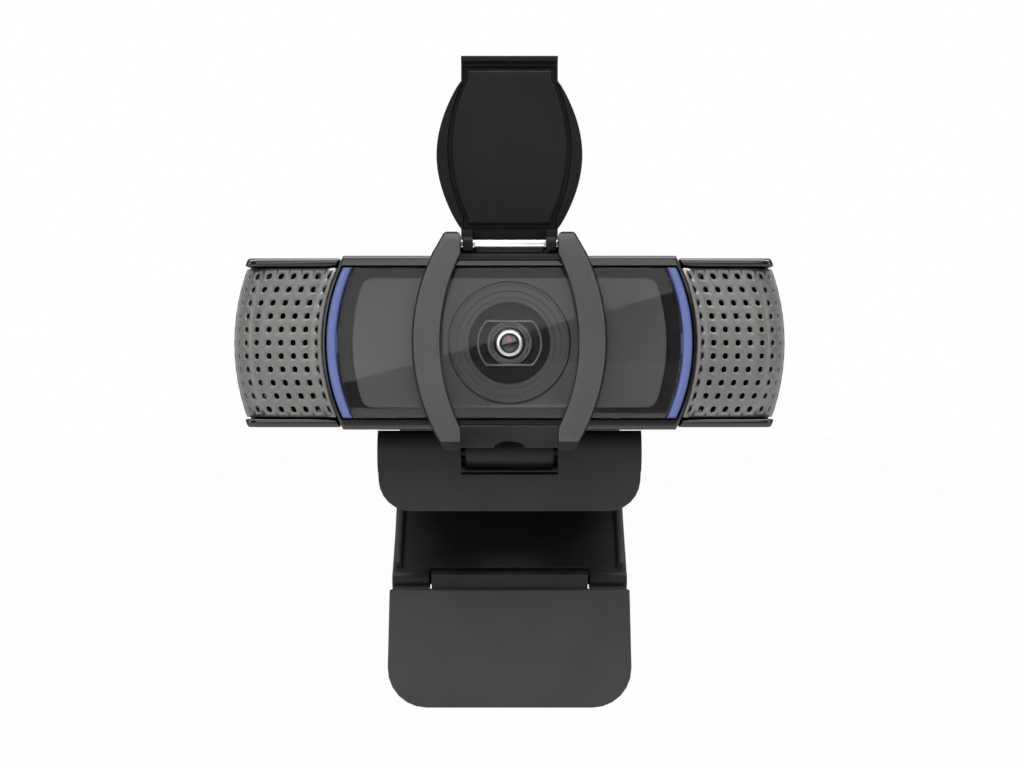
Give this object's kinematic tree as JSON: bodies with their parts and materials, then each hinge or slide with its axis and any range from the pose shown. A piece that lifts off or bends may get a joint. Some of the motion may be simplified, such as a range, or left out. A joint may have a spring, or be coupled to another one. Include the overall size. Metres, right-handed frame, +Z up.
{
  "type": "webcam",
  "caption": "Webcam with a bowed front, perforated ends and a flip-up privacy shutter, tilting on a folding monitor clip.",
  "frame": {"origin": "middle of the clip's seat pad, on the plane that rests on a monitor's top edge", "axes": "+X to the right as seen from the front, +Y from the lens towards the back, +Z up"},
  "size_m": [0.094, 0.0727, 0.1139],
  "materials": {
    "gloss_black": "high-gloss moulded black",
    "matte_black": "fine-textured moulded black",
    "soft_black": "soft-touch black",
    "arm_grey": "satin grey",
    "panel_grey": "satin grey",
    "painted_grille": "dark metallic paint",
    "clear_window": "clear polished plastic",
    "blue_light": "translucent blue",
    "lens_glass": "coated glass",
    "steel": "bright steel",
    "brass": "machined brass",
    "rubber": "matte rubber",
    "circuit_board": "green solder mask",
    "chip": "black epoxy",
    "cloth": "black acoustic cloth"
  },
  "bodies": {
    "clip_base": {"clip_base": "soft_black", "seat_pad": "rubber", "lip_pad": "rubber", "tripod_insert": "brass", "tilt_pin": "steel", "arm_hinge_pin": "steel"},
    "head": {"front_housing": "gloss_black", "rear_housing": "matte_black", "end_cap_left": "gloss_black", "end_cap_right": "gloss_black", "grille_left": "painted_grille", "grille_right": "painted_grille", "acoustic_mesh_left": "cloth", "acoustic_mesh_right": "cloth", "mic_boot_left": "rubber", "mic_boot_right": "rubber", "microphone_left": "steel", "microphone_right": "steel", "front_window": "clear_window", "bezel_panel": "panel_grey", "mask_plate": "gloss_black", "lens_bezel": "panel_grey", "light_guide_left": "blue_light", "light_guide_right": "blue_light", "status_led_left": "clear_window", "status_led_right": "clear_window", "led_board_left": "circuit_board", "led_board_right": "circuit_board", "light_baffle": "matte_black", "lens_holder": "matte_black", "ir_filter": "lens_glass", "image_sensor": "chip", "main_board": "circuit_board", "board_screw_1": "steel", "board_screw_2": "steel", "board_screw_3": "steel", "board_screw_4": "steel", "processor": "chip", "shield_can": "steel", "cable_header": "chip", "cable_gland": "rubber", "shutter_frame": "gloss_black", "arm_cover_left": "arm_grey", "arm_cover_right": "arm_grey", "flap_hinge_pin": "steel"},
    "lens_carrier": {"lens_barrel": "matte_black", "lens_ring": "steel", "lens_front_element": "lens_glass", "lens_rear_element": "lens_glass"},
    "flap": {"shutter_flap": "gloss_black", "flap_panel": "matte_black"},
    "arm": {"arm_plate": "matte_black", "foot_hinge_pin": "steel"},
    "foot": {"foot_plate": "matte_black", "foot_pad": "soft_black"}
  },
  "joints": [
    {"name": "head_tilt", "type": "hinge", "parent": "clip_base", "child": "head", "pos_m": [0, -0.01, 0.0036], "axis": [1, 0, 0], "range_deg": [-20, 25]},
    {"name": "autofocus", "type": "slide", "parent": "head", "child": "lens_carrier", "axis": [0, -1, 0], "range_m": [0, 0.0004]},
    {"name": "shutter_flip", "type": "hinge", "parent": "head", "child": "flap", "pos_m": [0, -0.0235, 0.03875], "axis": [1, 0, 0], "range_deg": [-20, 180]},
    {"name": "arm_fold", "type": "hinge", "parent": "clip_base", "child": "arm", "pos_m": [0, 0.042, 0.0035], "axis": [1, 0, 0], "range_deg": [-28, 110]},
    {"name": "foot_fold", "type": "hinge", "parent": "arm", "child": "foot", "pos_m": [0, 0.01564, -0.02018], "axis": [-1, 0, 0], "range_deg": [-123, 60]}
  ]
}
